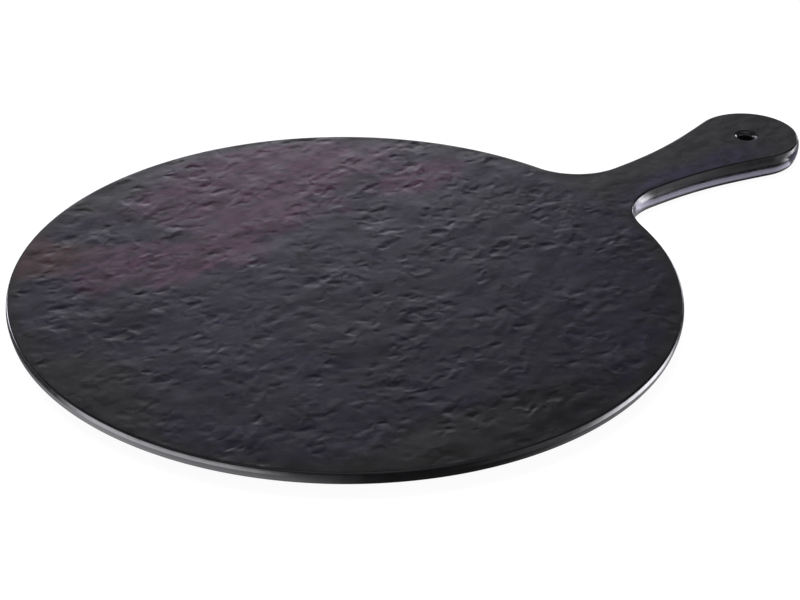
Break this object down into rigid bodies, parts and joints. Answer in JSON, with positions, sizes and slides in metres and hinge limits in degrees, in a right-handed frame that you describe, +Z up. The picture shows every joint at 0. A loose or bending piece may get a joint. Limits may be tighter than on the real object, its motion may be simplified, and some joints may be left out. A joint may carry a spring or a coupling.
{
  "type": "serving platter",
  "caption": "Round slate-effect serving platter with a paddle handle, a hanging hole at its end, a base ring underneath and non-slip feet.",
  "frame": {"origin": "under the middle of the overall length and width, on the surface that the feet stand on", "axes": "+X along the handle, from the disc to the handle's tip; +Z up, out of the serving face; +Y to the left of the handle"},
  "size_m": [0.425, 0.3, 0.012],
  "materials": {
    "slate_melamine": "melamine moulded with a matt riven slate face and plain glossy edges",
    "foot_silicone": "matt dark grey silicone"
  },
  "bodies": {
    "root": {"platter_body": "slate_melamine", "foot_handle_left": "foot_silicone", "foot_far_left": "foot_silicone", "foot_far_right": "foot_silicone", "foot_handle_right": "foot_silicone"}
  },
  "joints": []
}
